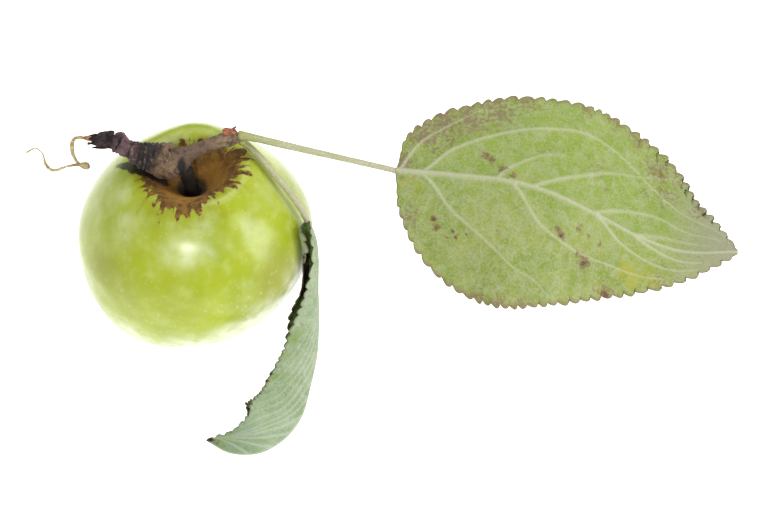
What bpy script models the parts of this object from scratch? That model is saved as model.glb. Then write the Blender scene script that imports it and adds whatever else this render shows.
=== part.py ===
"""An apple, picked with its piece of spur wood and its last two leaves.

Metres, +Z up. Sizes and places are named in millimetres and MM turns them into metres. The
fruit is modelled round its own axis, standing on the surface z = 0, and the wood and the
leaves are placed from that axis. The last step shifts the whole object so that its box
stands centred on the origin.
"""

import math

import bmesh
import bpy
import numpy as np
from mathutils import Vector

MM = 0.001
UP = Vector((0, 0, 1))
UP_AND_FRONT = Vector((0, -0.5, 0.87))

# The fruit: its widest radius and that radius' height, the rim of the stalk hollow, and
# the flat ring that it stands on.
FRUIT_RADIUS = 28.1
WIDEST_HEIGHT = 24.5
RIM_HEIGHT = 47.1
RIM_RADIUS = 13.0
RING_OUTER = 9.5
RING_INNER = 7.4
HOLLOW_RADIUS = 2.2
HOLLOW_MOUTH = 38.7
HOLLOW_FLOOR = 36.0
BASIN_DEPTH = 4.2
LEAN = 5.1
LEAN_POWER = 1.5
LOBES = 5
LOBE_TURN = math.radians(88)
LOBE_DEPTH = 0.9
LOBE_DROP = 0.6
FRUIT_SIDES = 45

# The dried sepals in the blossom basin.
CALYX_RADIUS = 3.4
CALYX_NOTCH = 1.7
CALYX_TOP = 3.6
CALYX_DROOP = 1.5
CALYX_THICKNESS = 0.7

# Round stems: every route point is (x, y, z, radius).
STALK = [(-0.1, 0, 36.4, 1.5), (-0.4, 0, 40.0, 1.5), (-1.0, 0, 43.8, 1.6)]
SPUR = [
    (-17.9, 1.9, 53.4, 1.9),
    (-17.0, 1.7, 53.0, 2.6),
    (-14.9, 1.1, 52.0, 1.9),
    (-13.4, 0.8, 51.2, 2.1),
    (-12.0, 0.5, 50.5, 2.9),
    (-9.2, 0.1, 49.9, 3.3),
    (-6.3, 0.0, 48.9, 4.0),
    (-3.7, 0.0, 48.5, 4.1),
    (-2.0, 0.1, 49.3, 3.0),
    (-0.6, 0.8, 49.8, 2.0),
    (2.3, 2.5, 50.0, 1.6),
    (5.7, 4.2, 50.3, 1.55),
    (9.0, 5.0, 51.0, 1.9),
    (11.4, 5.0, 51.8, 1.4),
]
END_BUD = [
    (-18.9, 2.1, 53.8, 1.4),
    (-19.8, 2.1, 53.5, 2.0),
    (-21.2, 2.1, 53.2, 1.7),
    (-22.6, 2.2, 53.4, 0.5),
]
BUD_SCALE = [(-23.1, 2.3, 53.5, 0.4), (-24.0, 2.3, 53.8, 0.6), (-25.1, 2.3, 53.8, 0.4)]
DRY_THREAD = [
    (-25.5, 2.3, 53.8, 0.45),
    (-26.6, 2.4, 53.6, 0.45),
    (-27.5, 2.6, 51.0, 0.45),
    (-27.4, 2.6, 47.3, 0.45),
    (-25.9, 2.5, 44.4, 0.45),
    (-24.3, 1.9, 44.4, 0.45),
    (-24.4, 1.3, 46.2, 0.42),
    (-26.0, 1.0, 46.4, 0.4),
    (-28.6, 0.9, 46.0, 0.36),
    (-32.5, 0.8, 44.7, 0.32),
    (-33.8, 0.6, 46.6, 0.3),
    (-34.3, 0.3, 50.8, 0.27),
    (-35.6, 0.2, 52.5, 0.25),
    (-38.0, 0.2, 51.0, 0.22),
]
SIDE_BUD = [(8.2, 5.3, 53.4, 0.3), (9.3, 5.3, 53.9, 0.7), (10.9, 5.4, 54.2, 0.35)]
LONG_LEAF_STALK = [
    (11.9, 5.0, 52.0, 1.0),
    (20.9, 4.8, 49.4, 0.88),
    (28.0, 4.5, 47.4, 0.8),
    (37.3, 4.0, 44.9, 0.72),
    (47.6, 3.5, 41.9, 0.68),
]
SHORT_LEAF_STALK = [
    (12.4, 5.3, 49.4, 0.8),
    (14.4, 4.1, 48.3, 0.8),
    (16.8, 2.0, 46.9, 0.8),
    (19.8, -0.4, 44.2, 0.8),
    (22.8, -2.2, 40.9, 0.78),
    (25.5, -3.9, 37.0, 0.75),
    (27.0, -4.4, 33.9, 0.7),
]

# Leaf blades: a midrib route, and rows of (share of the midrib, half-width, angle at the
# midrib, angle at the margin) for each half. An angle turns from the blade's side
# direction towards its face.
LEAF_THICKNESS = 0.5
BROAD_MIDRIB = [
    (48.1, 3.5, 41.7),
    (64.7, 2.4, 40.8),
    (75.5, 1.7, 39.8),
    (85.1, 1.0, 36.5),
    (96.9, 0.2, 29.4),
    (107.5, -0.4, 22.4),
    (117.4, -1.1, 18.6),
    (130.7, -2.0, 19.5),
]
BROAD_NEAR = [
    (0.0, 0.7, -25, -25),
    (0.03, 9.5, -25, -25),
    (0.08, 18.6, -25, -27),
    (0.2, 28.5, -23, -29),
    (0.33, 30.8, -21, -30),
    (0.47, 27.6, -22, -29),
    (0.72, 15.0, -25, -25),
    (0.88, 6.0, -25, -25),
    (1.0, 0.5, -25, -25),
]
BROAD_FAR = [
    (0.0, 0.7, 172, 172),
    (0.03, 9.4, 172, 172),
    (0.08, 15.4, 172, 172),
    (0.2, 22.0, 170, 174),
    (0.38, 27.4, 168, 176),
    (0.6, 31.2, 168, 176),
    (0.8, 25.4, 170, 174),
    (0.9, 14.0, 172, 172),
    (1.0, 0.5, 172, 172),
]
FOLDED_MIDRIB = [
    (27.3, -4.7, 33.0),
    (27.8, -7.4, 29.6),
    (28.5, -10.2, 24.0),
    (29.1, -13.0, 16.5),
    (29.3, -17.2, 8.5),
    (29.0, -21.8, 3.6),
    (27.9, -27.4, 1.1),
    (25.4, -38.6, 0.6),
    (21.6, -44.6, 0.5),
    (16.0, -48.6, 0.5),
    (9.2, -48.6, 0.6),
    (3.6, -45.1, 0.8),
]
FOLDED_NEAR = [
    (0.0, 0.7, 150, 60),
    (0.05, 4.8, 165, 22),
    (0.1, 5.0, 160, 20),
    (0.15, 5.8, 140, 6),
    (0.2, 6.4, 120, 0),
    (0.25, 8.0, 110, -5),
    (0.3, 9.4, 98, -5),
    (0.35, 9.6, 84, -5),
    (0.4, 9.6, 70, -5),
    (0.5, 10.2, 52, 2),
    (0.66, 11.6, 32, 8),
    (0.78, 11.6, 28, 8),
    (0.88, 7.8, 26, 10),
    (1.0, 0.5, 20, 20),
]
FOLDED_FAR = [
    (0.0, 0.7, 0, 60),
    (0.03, 5.8, 8, 130),
    (0.08, 5.8, 12, 135),
    (0.12, 4.4, 10, 95),
    (0.2, 4.8, 10, 70),
    (0.25, 6.2, 5, 50),
    (0.3, 7.0, 5, 30),
    (0.35, 7.2, 5, 15),
    (0.4, 7.7, 6, 10),
    (0.45, 8.4, 7, 2),
    (0.5, 9.7, 8, -4),
    (0.66, 11.6, 5, -4),
    (0.78, 11.6, 3, -3),
    (0.88, 7.8, 2, -2),
    (1.0, 0.5, 0, 0),
]
BLADE_STATIONS = 40
BLADE_CELLS = 14


def srgb(red, green, blue):
    """A colour given as 0 to 255 display values, as the linear values that a shader takes."""
    return tuple((c / 255) ** 2.2 for c in (red, green, blue)) + (1.0,)


def finish(name, colour, roughness):
    material = bpy.data.materials.new(name)
    material.use_nodes = True
    shader = material.node_tree.nodes["Principled BSDF"]
    shader.inputs["Base Color"].default_value = colour
    shader.inputs["Roughness"].default_value = roughness
    shader.inputs["Metallic"].default_value = 0.0
    material.diffuse_color = colour
    return material


def add_mesh(name, bm, material):
    mesh = bpy.data.meshes.new(name)
    bm.to_mesh(mesh)
    bm.free()
    mesh.shade_smooth()
    mesh.materials.append(material)
    piece = bpy.data.objects.new(name, mesh)
    bpy.context.scene.collection.objects.link(piece)
    return piece


def bezier(start, first, second, end, count):
    """Points of a cubic curve after its start, up to and including its end."""
    start, first, second, end = (np.array(p, float) for p in (start, first, second, end))
    points = []
    for t in np.linspace(0, 1, count + 1)[1:]:
        u = 1 - t
        points.append(u**3 * start + 3 * u * u * t * first + 3 * u * t * t * second + t**3 * end)
    return points


def smooth_step(low, high, value):
    share = min(max((value - low) / (high - low), 0.0), 1.0)
    return share * share * (3 - 2 * share)


def through(keys, rows, where):
    """A smooth curve through the rows, read at where; keys are the rows' positions."""
    rows = np.array(rows, float)
    keys = np.array(keys, float)
    spans = np.diff(keys)
    slopes = np.diff(rows, axis=0) / spans[:, None]
    tangents = np.vstack([slopes[:1], (slopes[1:] + slopes[:-1]) / 2, slopes[-1:]])
    i = int(np.clip(np.searchsorted(keys, where) - 1, 0, len(spans) - 1))
    t = (where - keys[i]) / spans[i]
    return (
        (1 + 2 * t) * (1 - t) ** 2 * rows[i]
        + t * (1 - t) ** 2 * spans[i] * tangents[i]
        + t * t * (3 - 2 * t) * rows[i + 1]
        + t * t * (t - 1) * spans[i] * tangents[i + 1]
    )


def route_keys(route):
    """How far along its route each point lies."""
    places = np.array(route, float)[:, :3]
    steps = np.linalg.norm(np.diff(places, axis=0), axis=1)
    return np.concatenate([[0.0], np.cumsum(steps)])


def stem(name, route, material, step, sides):
    """A round stem along a route, with its own radius at each point and closed ends."""
    keys = route_keys(route)
    count = max(3, round(keys[-1] / step))
    curve = bpy.data.curves.new(name, "CURVE")
    curve.dimensions = "3D"
    curve.bevel_depth = MM
    curve.bevel_resolution = sides // 2 - 2
    curve.use_fill_caps = True
    spline = curve.splines.new("POLY")
    spline.points.add(count)
    spline.use_smooth = True
    for point, where in zip(spline.points, np.linspace(0, keys[-1], count + 1)):
        x, y, z, radius = through(keys, route, where)
        point.co = (x * MM, y * MM, z * MM, 1)
        point.radius = radius
    curve.materials.append(material)
    piece = bpy.data.objects.new(name, curve)
    bpy.context.scene.collection.objects.link(piece)
    return piece


def fruit_profile():
    """Half the fruit's outline as (radius, height), from under the basin to the hollow's floor."""
    side = FRUIT_RADIUS - RING_OUTER
    shoulder = FRUIT_RADIUS - RIM_RADIUS
    rise = RIM_HEIGHT - WIDEST_HEIGHT
    points = [np.array((0.0, BASIN_DEPTH))]
    points += bezier((0, BASIN_DEPTH), (4, BASIN_DEPTH), (5.6, 0.9), (RING_INNER, 0), 5)
    points.append(np.array((RING_OUTER, 0.0)))
    points += bezier(
        (RING_OUTER, 0),
        (RING_OUTER + 0.5 * side, 0),
        (FRUIT_RADIUS, 0.49 * WIDEST_HEIGHT),
        (FRUIT_RADIUS, WIDEST_HEIGHT),
        9,
    )
    points += bezier(
        (FRUIT_RADIUS, WIDEST_HEIGHT),
        (FRUIT_RADIUS, WIDEST_HEIGHT + 0.39 * rise),
        (RIM_RADIUS + 0.26 * shoulder, RIM_HEIGHT),
        (RIM_RADIUS, RIM_HEIGHT),
        9,
    )
    points += bezier(
        (RIM_RADIUS, RIM_HEIGHT),
        (RIM_RADIUS - 4.5, RIM_HEIGHT),
        (HOLLOW_RADIUS + 2, HOLLOW_MOUTH + 1.1),
        (HOLLOW_RADIUS, HOLLOW_MOUTH),
        6,
    )
    points.append(np.array((HOLLOW_RADIUS - 0.1, HOLLOW_FLOOR)))
    points.append(np.array((0.0, HOLLOW_FLOOR)))
    return points


def grow(x, y, z):
    """Gives a point of the turned fruit its five soft lobes and its lean."""
    valley = (1 - math.cos(LOBES * (math.atan2(y, x) - LOBE_TURN))) / 2
    outer = smooth_step(3, RIM_RADIUS, math.hypot(x, y))
    shoulder = smooth_step(28, 44, z) * outer
    flank = smooth_step(2, 7, z) * (1 - smooth_step(8, 20, z))
    pull = 1 - LOBE_DEPTH * valley * (shoulder + 0.5 * flank) / FRUIT_RADIUS
    sink = LOBE_DROP * valley * smooth_step(38, RIM_HEIGHT, z) * outer
    lean = LEAN * max(0.0, 1 - z / WIDEST_HEIGHT) ** LEAN_POWER
    return x * pull - lean, y * pull, z - sink


def make_fruit():
    bm = bmesh.new()
    outline = [bm.verts.new((r, 0, z)) for r, z in fruit_profile()]
    edges = [bm.edges.new(pair) for pair in zip(outline, outline[1:])]
    bmesh.ops.spin(
        bm,
        geom=outline + edges,
        cent=(0, 0, 0),
        axis=UP,
        angle=math.tau,
        steps=FRUIT_SIDES,
        use_merge=True,
    )
    bmesh.ops.remove_doubles(bm, verts=bm.verts, dist=0.001)
    for vert in bm.verts:
        vert.co = Vector(grow(*vert.co)) * MM
    bmesh.ops.recalc_face_normals(bm, faces=bm.faces)
    return add_mesh("fruit", bm, finish("apple_skin", srgb(178, 190, 88), 0.4))


def make_calyx():
    """Five short sepals joined in the middle, drooping out of the blossom basin."""
    bm = bmesh.new()
    star = bmesh.ops.create_circle(bm, cap_ends=True, segments=2 * LOBES, radius=CALYX_RADIUS)
    for index, vert in enumerate(star["verts"]):
        if index % 2:
            vert.co *= CALYX_NOTCH / CALYX_RADIUS
        else:
            vert.co.z -= CALYX_DROOP
    bmesh.ops.inset_region(bm, faces=bm.faces, thickness=CALYX_NOTCH * 0.4)
    bmesh.ops.triangulate(bm, faces=bm.faces)
    slab = bmesh.ops.extrude_face_region(bm, geom=bm.faces[:])
    lower = [v for v in slab["geom"] if isinstance(v, bmesh.types.BMVert)]
    bmesh.ops.translate(bm, verts=lower, vec=(0, 0, -CALYX_THICKNESS))
    bmesh.ops.translate(bm, verts=bm.verts, vec=(-0.9 * LEAN, 0, CALYX_TOP))
    bmesh.ops.scale(bm, verts=bm.verts, vec=(MM, MM, MM))
    bmesh.ops.recalc_face_normals(bm, faces=bm.faces)
    return add_mesh("calyx", bm, finish("dry_sepal", srgb(96, 74, 44), 0.85))


def arc(width, first, last, share):
    """Where a half-blade that bends evenly from one angle to another has got to."""
    turn = math.radians(last - first)
    start = math.radians(first)
    reach = width * share
    if abs(turn) < 0.001:
        return reach * math.cos(start), reach * math.sin(start)
    radius = width / turn
    now = start + turn * share
    side = radius * (math.sin(now) - math.sin(start))
    face = radius * (math.cos(start) - math.cos(now))
    return side, face


def make_blade(name, midrib, near, far, facing, material):
    """A leaf blade: a grid bent to its midrib and its two halves, then given its thickness."""
    keys = route_keys(midrib)
    near_keys = [row[0] for row in near]
    far_keys = [row[0] for row in far]
    bm = bmesh.new()
    bmesh.ops.create_grid(bm, x_segments=BLADE_CELLS, y_segments=BLADE_STATIONS, size=1)
    for vert in bm.verts:
        across = vert.co.x
        along = (vert.co.y + 1) / 2
        place = Vector(through(keys, midrib, along * keys[-1]))
        before = through(keys, midrib, max(0.0, along - 0.04) * keys[-1])
        after = through(keys, midrib, min(1.0, along + 0.04) * keys[-1])
        heading = Vector(after - before).normalized()
        side = heading.cross(facing).normalized()
        face = side.cross(heading)
        rows, row_keys = (near, near_keys) if across > 0 else (far, far_keys)
        _, width, first, last = through(row_keys, rows, along)
        out, up = arc(width, first, last, abs(across))
        vert.co = (place + side * out + face * up) * MM
    piece = add_mesh(name, bm, material)
    wall = piece.modifiers.new("thickness", "SOLIDIFY")
    wall.thickness = LEAF_THICKNESS * MM
    wall.offset = 0
    return piece


def rest_on_origin(pieces):
    """Shifts every piece so that the whole object's box stands centred on the origin."""
    graph = bpy.context.evaluated_depsgraph_get()
    corners = []
    for piece in pieces:
        ready = piece.evaluated_get(graph)
        mesh = ready.to_mesh()
        corners += [ready.matrix_world @ vert.co for vert in mesh.vertices]
        ready.to_mesh_clear()
    low = [min(corner[k] for corner in corners) for k in range(3)]
    high = [max(corner[k] for corner in corners) for k in range(3)]
    shift = Vector((-(low[0] + high[0]) / 2, -(low[1] + high[1]) / 2, -low[2]))
    for piece in pieces:
        piece.location += shift


def main():
    for old in list(bpy.data.objects):
        bpy.data.objects.remove(old, do_unlink=True)
    bark = finish("spur_bark", srgb(106, 84, 74), 0.85)
    dark_bud = finish("bud_scales", srgb(62, 50, 50), 0.9)
    tan = finish("dry_tissue", srgb(200, 190, 158), 0.8)
    red = finish("red_scale", srgb(176, 118, 86), 0.7)
    stalk_skin = finish("stalk_skin", srgb(82, 60, 40), 0.7)
    leaf_stalk = finish("leaf_stalk", srgb(190, 190, 150), 0.55)
    underside = finish("leaf_underside", srgb(166, 177, 104), 0.7)
    folded = finish("folded_leaf_skin", srgb(186, 196, 166), 0.7)
    pieces = [
        make_fruit(),
        make_calyx(),
        stem("fruit_stalk", STALK, stalk_skin, 1.5, 10),
        stem("spur", SPUR, bark, 1.0, 12),
        stem("end_bud", END_BUD, dark_bud, 0.7, 10),
        stem("bud_scale", BUD_SCALE, tan, 0.5, 8),
        stem("dry_thread", DRY_THREAD, tan, 1.0, 6),
        stem("side_bud", SIDE_BUD, red, 0.5, 8),
        stem("long_leaf_stalk", LONG_LEAF_STALK, leaf_stalk, 2.5, 8),
        stem("short_leaf_stalk", SHORT_LEAF_STALK, leaf_stalk, 1.8, 8),
        make_blade("broad_leaf", BROAD_MIDRIB, BROAD_NEAR, BROAD_FAR, UP, underside),
        make_blade("folded_leaf", FOLDED_MIDRIB, FOLDED_NEAR, FOLDED_FAR, UP_AND_FRONT, folded),
    ]
    bpy.context.view_layer.update()
    rest_on_origin(pieces)


main()
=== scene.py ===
"""The looks of an apple with its spur wood and last two leaves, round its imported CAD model.

Places are written in millimetres from the fruit's own axis, with z = 0 the surface that it
stands on. place() turns them into the frame's metres, and the axis comes from the fruit's box.
"""

import math

import bmesh
import bpy
import numpy as np
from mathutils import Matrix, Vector, noise


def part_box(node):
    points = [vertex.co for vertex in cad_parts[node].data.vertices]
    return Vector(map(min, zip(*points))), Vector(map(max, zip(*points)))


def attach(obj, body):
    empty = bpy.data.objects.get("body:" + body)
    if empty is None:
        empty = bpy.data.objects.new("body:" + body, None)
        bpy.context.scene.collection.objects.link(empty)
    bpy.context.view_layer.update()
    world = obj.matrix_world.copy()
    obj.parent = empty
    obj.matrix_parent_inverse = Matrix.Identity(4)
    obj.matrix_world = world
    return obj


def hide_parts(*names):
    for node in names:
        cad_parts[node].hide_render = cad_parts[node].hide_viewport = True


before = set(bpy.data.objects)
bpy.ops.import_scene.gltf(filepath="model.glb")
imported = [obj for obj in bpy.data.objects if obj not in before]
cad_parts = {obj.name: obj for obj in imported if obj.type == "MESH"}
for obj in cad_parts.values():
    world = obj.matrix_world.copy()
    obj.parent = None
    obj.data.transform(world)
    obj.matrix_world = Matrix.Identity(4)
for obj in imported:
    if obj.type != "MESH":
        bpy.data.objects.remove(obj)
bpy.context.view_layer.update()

MM = 0.001
UP = (0, 0, 1)
UP_AND_FRONT = (0, -0.5, 0.87)

# The fruit, as it was turned and grown in the CAD.
FRUIT_RADIUS = 28.1
WIDEST_HEIGHT = 24.5
RIM_HEIGHT = 47.1
RIM_RADIUS = 13.0
RING_OUTER = 9.5
RING_INNER = 7.4
HOLLOW_RADIUS = 2.2
HOLLOW_MOUTH = 38.7
HOLLOW_FLOOR = 36.0
BASIN_DEPTH = 4.2
LEAN = 5.1
LEAN_POWER = 1.5
LOBES = 5
LOBE_TURN = math.radians(88)
LOBE_DEPTH = 0.9
LOBE_DROP = 0.6
FRUIT_SIDES = 220
# The height that the skin's bumps and colour patches are measured round.
FRUIT_MIDDLE = 24.0

# Stems: every route point is (x, y, z, radius).
STALK = [(-0.1, 0, 36.3, 1.4), (-0.4, 0, 40.0, 1.45), (-0.9, 0, 43.6, 1.7), (-1.5, 0, 46.4, 2.0)]
SPUR = [
    (-18.3, 1.9, 53.4, 2.0), (-17.0, 1.7, 53.0, 2.6), (-14.9, 1.1, 52.0, 1.9),
    (-13.4, 0.8, 51.2, 2.1), (-12.0, 0.5, 50.5, 2.9), (-9.2, 0.1, 49.9, 3.3),
    (-6.3, 0.0, 48.9, 4.0), (-3.7, 0.0, 48.5, 4.1), (-2.0, 0.1, 49.3, 3.0),
    (-0.6, 0.8, 49.8, 2.0), (2.3, 2.5, 50.0, 1.6), (5.7, 4.2, 50.3, 1.55),
    (9.0, 5.0, 51.0, 1.9), (11.6, 5.0, 51.8, 1.4),
]
# Painted shade: the dark gap between the knob and the shoot, where the fruit stalk stands in shadow.
SPUR_CLEFT_SHADE = [(-1.9, -1.7, 50.5), (-1.8, -3.1, 50.0), (-2.0, -2.4, 47.0), (-1.6, -0.6, 46.2)]
END_BUD = [
    (-18.3, 2.0, 53.7, 1.5), (-19.8, 2.1, 53.5, 1.9),
    (-21.2, 2.1, 53.2, 1.6), (-22.6, 2.2, 53.4, 0.5),
]
DRY_THREAD = [
    (-24.6, 2.3, 53.8, 0.5), (-25.5, 2.3, 53.9, 0.45), (-26.6, 2.4, 53.6, 0.45),
    (-27.5, 2.6, 51.0, 0.45), (-27.4, 2.6, 47.3, 0.45), (-25.9, 2.5, 44.4, 0.45),
    (-24.3, 1.9, 44.4, 0.45), (-24.4, 1.3, 46.2, 0.42), (-26.0, 1.0, 46.4, 0.4),
    (-28.6, 0.9, 46.0, 0.36), (-32.5, 0.8, 44.7, 0.3), (-33.8, 0.6, 46.6, 0.28),
    (-34.3, 0.3, 50.8, 0.25), (-35.6, 0.2, 52.5, 0.22), (-38.0, 0.2, 51.0, 0.18),
]
LONG_LEAF_STALK = [
    (10.9, 5.0, 52.2, 1.3), (12.5, 5.0, 51.9, 1.05), (20.9, 4.8, 49.4, 0.88),
    (28.0, 4.5, 47.4, 0.8), (37.3, 4.0, 44.9, 0.72), (48.6, 3.5, 41.7, 0.7),
]
SHORT_LEAF_STALK = [
    (11.2, 5.3, 50.2, 1.0), (12.4, 5.3, 49.4, 0.85), (14.4, 4.1, 48.3, 0.8),
    (16.8, 2.0, 46.9, 0.8), (19.8, -0.4, 44.2, 0.8), (22.8, -2.2, 40.9, 0.78),
    (25.5, -3.9, 37.0, 0.75), (27.3, -4.7, 32.8, 0.7),
]
# Colour patches on the fruit: (bearing, height as an angle, spread, strength), in degrees.
OLIVE_PATCHES = [
    (-41, 7, 17, 1.0), (-60, -3, 14, 0.55), (-140, 14, 15, 0.7), (-125, 4, 14, 0.45),
    (-95, 6, 16, 0.35), (-118, 52, 9, 0.35), (-60, 52, 8, 0.45), (-40, 45, 8, 0.3),
]
# Pale patches, given as the olive patches are: the skin's waxy bloom, with painted sheen round the
# highlight and low on the front and right.
BLOOM_AND_SHEEN_PATCHES = [
    (-50, -20, 18, 1.3), (-68, -24, 16, 1.1), (-90, -34, 17, 1.0), (-26, -7, 15, 1.2),
    (-8, 5, 12, 0.7), (-125, -26, 14, 0.7), (-150, -6, 12, 0.3), (-172, 8, 12, 0.2),
    (-90, 34, 8, 0.45), (-102, 36, 8, 0.35), (-78, 36, 8, 0.35), (-66, 38, 8, 0.3),
    (-135, 40, 12, 0.4), (-160, 48, 12, 0.35), (-45, 38, 11, 0.3), (-75, 50, 8, 0.35),
    (-10, 45, 14, 0.3),
]
# Where the spur's shade lies on the skin, from its thin left end to the hollow.
SHADE = [
    (-17.4, 3.0, 43.9), (-15.6, 1.5, 45.3), (-13.0, -0.2, 46.6), (-11.6, -0.5, 45.9),
    (-8.8, -0.9, 45.3), (-5.9, -1.0, 44.3), (-3.3, -1.0, 43.9), (-1.6, -0.9, 44.7),
]
# Where each growth ring crosses the spur, in millimetres along it, and how deep it is cut.
RING_SCARS = [
    (2.0, 0.45), (5.1, 0.55), (7.4, 0.6), (8.5, 0.4), (9.4, 0.55),
    (10.2, 0.35), (11.3, 0.4), (13.8, 0.15), (26.3, 0.25),
]

# Leaf blades: a midrib route, and rows of (share of the midrib, half-width, angle at the
# midrib, angle at the margin) for each half.
BLADE_THICKNESS = 0.35
BROAD_MIDRIB = [
    (48.1, 3.5, 41.7), (64.7, 2.4, 40.8), (75.5, 1.7, 39.8), (85.1, 1.0, 36.5),
    (96.9, 0.2, 29.4), (107.5, -0.4, 22.4), (117.4, -1.1, 18.6), (130.7, -2.0, 19.5),
]
BROAD_NEAR = [
    (0.0, 0.7, -25, -25), (0.03, 9.5, -25, -25), (0.08, 18.6, -25, -27),
    (0.2, 28.5, -23, -29), (0.33, 30.8, -21, -30), (0.47, 27.6, -22, -29),
    (0.72, 15.0, -25, -25), (0.88, 6.0, -25, -25), (1.0, 0.5, -25, -25),
]
BROAD_FAR = [
    (0.0, 0.7, 172, 172), (0.03, 9.4, 172, 172), (0.08, 15.4, 172, 172),
    (0.2, 22.0, 170, 174), (0.38, 27.4, 168, 176), (0.6, 31.2, 168, 176),
    (0.8, 25.4, 170, 174), (0.9, 14.0, 172, 172), (1.0, 0.5, 172, 172),
]
FOLDED_MIDRIB = [
    (27.3, -4.7, 33.0), (27.8, -7.4, 29.6), (28.5, -10.2, 24.0), (29.1, -13.0, 16.5),
    (29.3, -17.2, 8.5), (29.0, -21.8, 3.6), (27.9, -27.4, 1.1), (25.4, -38.6, 0.6),
    (21.6, -44.6, 0.5), (16.0, -48.6, 0.5), (9.2, -48.6, 0.6), (3.6, -45.1, 0.8),
]
FOLDED_NEAR = [
    (0.0, 0.7, 150, 60), (0.05, 4.8, 165, 22), (0.1, 5.0, 160, 20),
    (0.15, 5.8, 140, 6), (0.2, 6.4, 120, 0), (0.25, 8.0, 110, -5),
    (0.3, 9.4, 98, -5), (0.35, 9.6, 84, -5), (0.4, 9.6, 70, -5),
    (0.5, 10.2, 52, 2), (0.66, 11.6, 32, 8), (0.78, 11.6, 28, 8),
    (0.88, 7.8, 26, 10), (1.0, 0.5, 20, 20),
]
FOLDED_FAR = [
    (0.0, 0.7, 0, 60), (0.03, 5.8, 8, 130), (0.08, 5.8, 12, 135),
    (0.12, 4.4, 10, 95), (0.2, 4.8, 10, 70), (0.25, 6.2, 5, 50),
    (0.3, 7.0, 5, 30), (0.35, 7.2, 5, 15), (0.4, 7.7, 6, 10),
    (0.45, 8.4, 7, 2), (0.5, 9.7, 8, -4), (0.66, 11.6, 5, -4),
    (0.78, 11.6, 3, -3), (0.88, 7.8, 2, -2), (1.0, 0.5, 0, 0),
]
# Side veins as (share of the midrib, share of the half-width, which is below 0 on the far half).
BROAD_VEINS = [
    [(0.01, -0.05), (0.025, -0.4), (0.065, -0.67), (0.14, -0.78), (0.22, -0.9)],
    [(0.07, 0), (0.115, -0.25), (0.165, -0.42), (0.33, -0.6), (0.48, -0.7), (0.64, -0.65),
     (0.8, -0.51), (0.9, -0.62), (0.96, -0.8)],
    [(0.27, 0), (0.3, -0.14), (0.385, -0.35), (0.45, -0.42)],
    [(0.37, 0), (0.41, -0.1), (0.5, -0.27), (0.6, -0.44), (0.7, -0.58), (0.78, -0.75),
     (0.83, -0.93)],
    [(0.56, 0), (0.635, -0.13), (0.755, -0.27), (0.87, -0.3), (0.95, -0.45)],
    [(0.7, 0), (0.8, -0.1), (0.92, -0.16)],
    [(0.07, 0), (0.1, 0.12), (0.15, 0.32), (0.215, 0.44), (0.34, 0.66), (0.43, 0.76), (0.5, 0.92)],
    [(0.31, 0), (0.335, 0.06), (0.395, 0.25), (0.455, 0.35), (0.585, 0.49), (0.675, 0.57),
     (0.8, 0.78)],
    [(0.57, 0), (0.6, 0.05), (0.655, 0.18), (0.73, 0.33), (0.795, 0.5), (0.88, 0.74)],
    [(0.7, 0), (0.8, 0.2), (0.9, 0.5)],
]
# Blemishes: (share of the midrib, share of the half-width, radius, strength).
BROAD_SPOTS = [
    (0.145, -0.52, 2.0, 0.55), (0.235, -0.3, 1.5, 0.8), (0.255, -0.24, 1.2, 0.9),
    (0.285, -0.12, 1.2, 0.9), (0.315, -0.07, 1.0, 0.9), (0.3, -0.02, 0.7, 0.8),
    (0.11, 0.5, 0.9, 1.0), (0.12, 0.58, 0.9, 1.0), (0.165, 0.52, 0.7, 0.95),
    (0.175, 0.56, 0.6, 0.95), (0.15, 0.6, 0.5, 0.8), (0.14, 0.42, 0.5, 0.7),
    (0.2, 0.5, 0.5, 0.8), (0.29, 0.42, 0.8, 0.6), (0.285, 0.73, 1.3, 0.5),
    (0.485, 0.33, 1.3, 1.0), (0.47, 0.29, 1.0, 0.9), (0.535, 0.2, 1.3, 0.7),
    (0.57, 0.25, 1.0, 0.6), (0.605, 0.3, 1.0, 0.6), (0.575, 0.55, 1.7, 1.0),
    (0.55, 0.48, 1.0, 0.8), (0.665, 0.97, 1.4, 1.0), (0.595, -0.27, 1.6, 0.45),
    (0.725, -0.47, 1.4, 0.55), (0.77, -0.75, 1.8, 0.6), (0.775, -0.6, 1.6, 0.6),
    (0.78, -0.43, 1.0, 0.6),
]
# Where a blade has begun to turn brown or yellow, written as the blemishes are.
BROAD_BROWNING = [
    (0.01, -0.7, 4.0, 0.9), (0.06, -0.85, 5.0, 0.9), (0.12, -0.85, 5.0, 0.9), (0.19, -0.8, 5.0, 0.85),
    (0.26, -0.85, 5.0, 0.8), (0.33, -0.95, 3.5, 0.7), (0.1, -0.45, 3.0, 0.6), (0.03, -0.3, 3.0, 0.5),
    (0.5, -0.97, 3.0, 0.6), (0.6, -0.97, 3.0, 0.7), (0.68, -0.95, 3.5, 0.7), (0.76, -0.8, 5.0, 0.7),
    (0.79, -0.6, 3.5, 0.6), (0.83, -0.95, 3.5, 0.7), (0.9, -0.95, 3.0, 0.6), (0.55, -0.42, 3.5, 0.4),
    (0.4, -0.42, 3.0, 0.35), (0.04, 0.95, 3.0, 0.7), (0.25, 0.97, 3.0, 0.6), (0.33, 0.97, 3.5, 0.7),
    (0.4, 0.97, 3.0, 0.6), (0.66, 0.9, 3.0, 0.7), (0.8, 0.95, 3.0, 0.5),
]
BROAD_YELLOWING = [
    (0.72, 0.66, 3.5, 0.9), (0.78, 0.75, 3.0, 0.7), (0.04, 0.3, 5.0, 0.5), (0.3, -0.05, 4.0, 0.3),
]
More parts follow.
